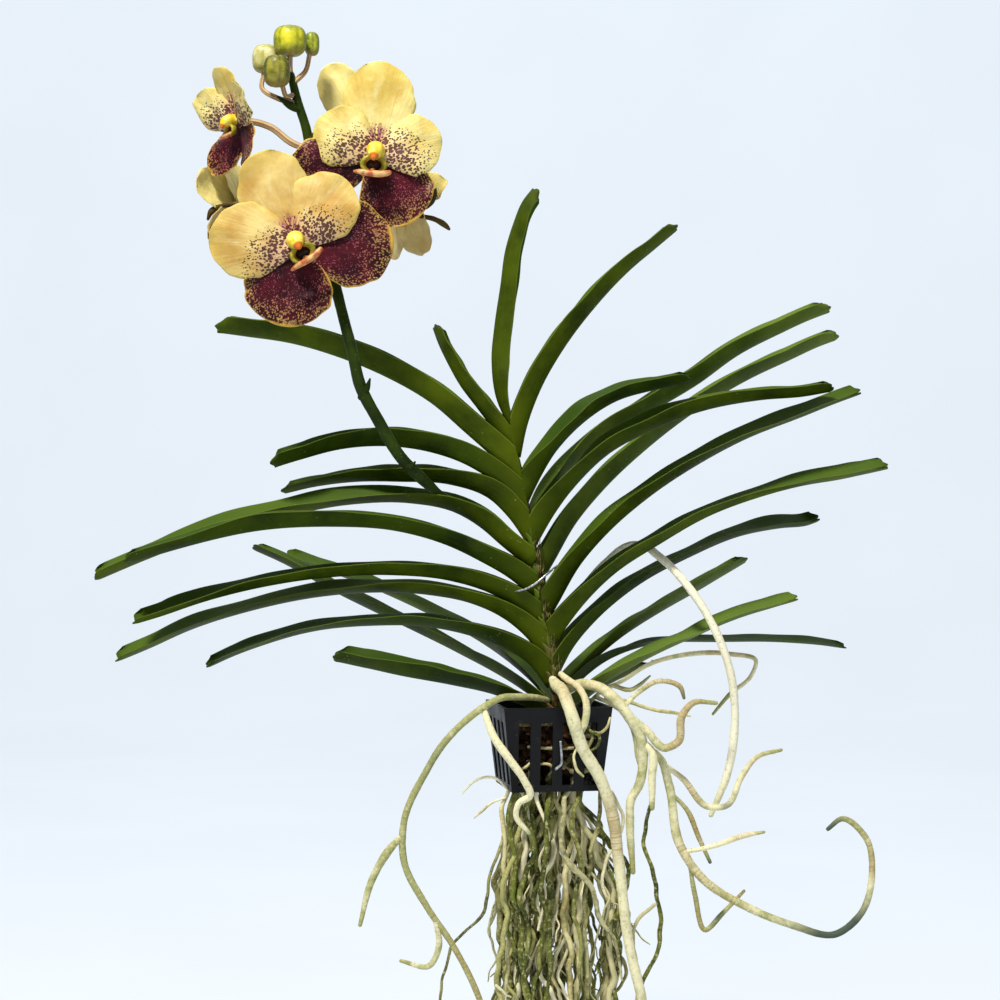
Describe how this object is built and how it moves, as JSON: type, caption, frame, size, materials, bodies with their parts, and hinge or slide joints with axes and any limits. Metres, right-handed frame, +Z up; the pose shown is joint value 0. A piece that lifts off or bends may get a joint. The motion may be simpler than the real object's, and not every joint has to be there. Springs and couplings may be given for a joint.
{
  "type": "vanda orchid in hanging basket",
  "caption": "Flowering strap-leaved orchid with a spike of spotted yellow and maroon blooms, rooted in a small square slatted hanging basket with long bare aerial roots",
  "frame": {"origin": "the middle of the basket's rim, on the plane of the rim's top face", "axes": "+Z up; +Y away from the viewer of the picture; +X to the viewer's right"},
  "size_m": [0.4832, 0.2113, 0.71],
  "materials": {
    "basket": "satin",
    "wire": "satin",
    "root_tangle": "matt, fibrous",
    "stem": "matt, fibrous",
    "leaf": "waxy satin",
    "root": "matt, chalky",
    "spike": "satin",
    "bud": "satin",
    "petal": "soft satin",
    "dark_sepal": "soft satin",
    "lip": "waxy"
  },
  "bodies": {
    "root": {"basket": "basket", "bloom_1_lip": "lip", "bloom_1_petals": "petal", "bloom_1_sepals": "dark_sepal", "bloom_2_lip": "lip", "bloom_2_petals": "petal", "bloom_2_sepals": "dark_sepal", "bloom_3_lip": "lip", "bloom_3_petals": "petal", "bloom_3_sepals": "dark_sepal", "bloom_4_lip": "lip", "bloom_4_petals": "petal", "bloom_4_sepals": "dark_sepal", "bloom_5_lip": "lip", "bloom_5_petals": "petal", "bloom_5_sepals": "dark_sepal", "bloom_6_lip": "lip", "bloom_6_petals": "petal", "bloom_6_sepals": "dark_sepal", "bud_left": "bud", "bud_low": "bud", "bud_right": "bud", "bud_top": "bud", "flower_spike": "spike", "leaf_left_01": "leaf", "leaf_left_02": "leaf", "leaf_left_03": "leaf", "leaf_left_04": "leaf", "leaf_left_05": "leaf", "leaf_left_06": "leaf", "leaf_left_07": "leaf", "leaf_left_08": "leaf", "leaf_left_09": "leaf", "leaf_left_10": "leaf", "leaf_left_11": "leaf", "leaf_left_12": "leaf", "leaf_right_01": "leaf", "leaf_right_02": "leaf", "leaf_right_03": "leaf", "leaf_right_04": "leaf", "leaf_right_05": "leaf", "leaf_right_06": "leaf", "leaf_right_07": "leaf", "leaf_right_08": "leaf", "leaf_right_09": "leaf", "leaf_right_10": "leaf", "leaf_right_11": "leaf", "leaf_right_12": "leaf", "leaf_top": "leaf", "root_left": "root", "root_main": "root", "root_mass": "root_tangle", "root_right": "root", "root_thin": "root", "root_white": "root", "stem": "stem", "tie_wire": "wire", "wire_hook": "wire"}
  },
  "joints": []
}
